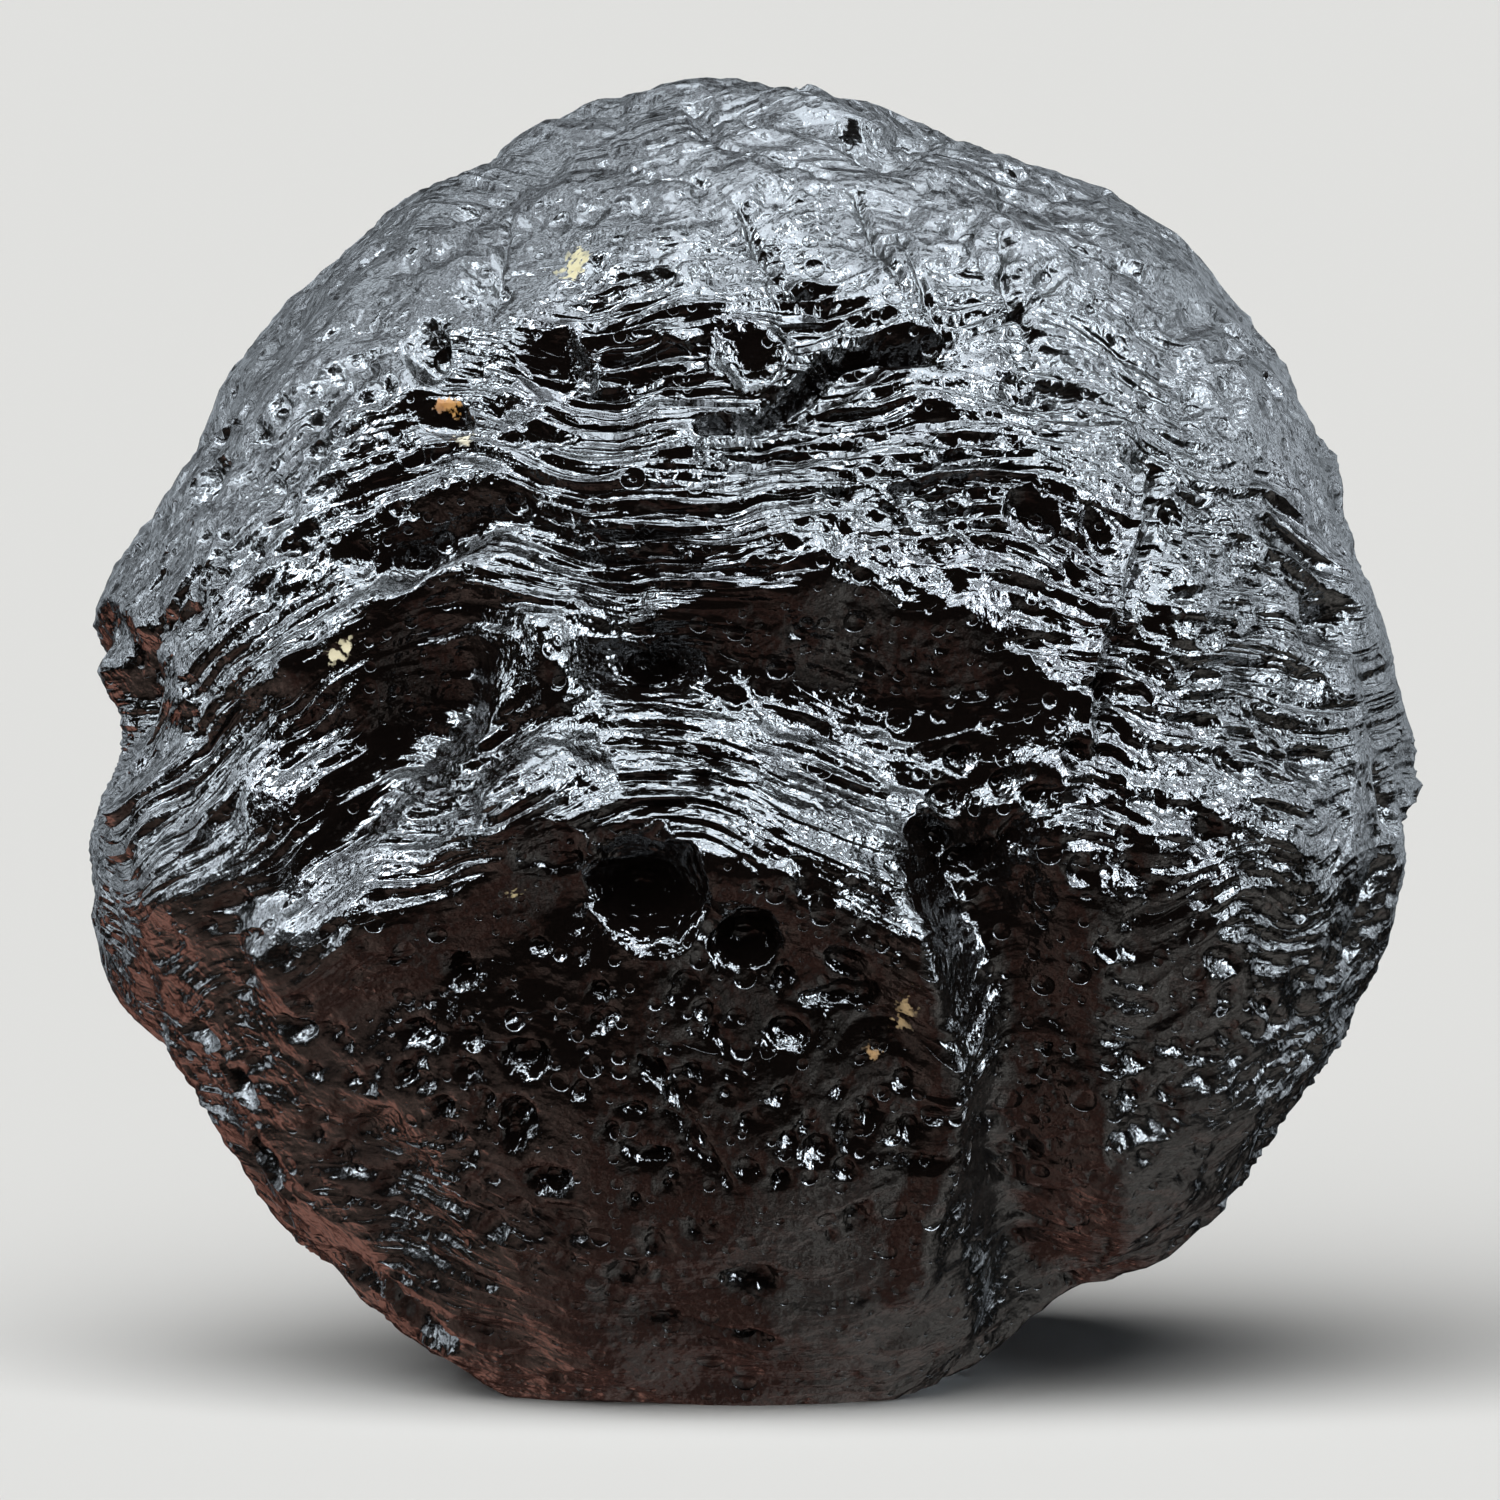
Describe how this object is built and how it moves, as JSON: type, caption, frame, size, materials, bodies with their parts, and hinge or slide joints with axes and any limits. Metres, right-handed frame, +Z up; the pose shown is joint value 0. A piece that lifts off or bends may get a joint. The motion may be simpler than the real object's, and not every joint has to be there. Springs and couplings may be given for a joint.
{
  "type": "tektite",
  "caption": "Rounded lump of black natural glass with hollows, flow grooves and small pits, resting on a small flat spot.",
  "frame": {"origin": "on the flat resting spot, straight below the centre of the stone", "axes": "+Z up from the resting spot, -Y the front that the picture shows, +X to the right seen from the front; the stone is least deep along Y"},
  "size_m": [0.04, 0.0374, 0.0392],
  "materials": {
    "tektite_glass": "black-brown natural glass, opaque at this thickness, bright and slightly etched"
  },
  "bodies": {
    "root": {"tektite": "tektite_glass"}
  },
  "joints": []
}
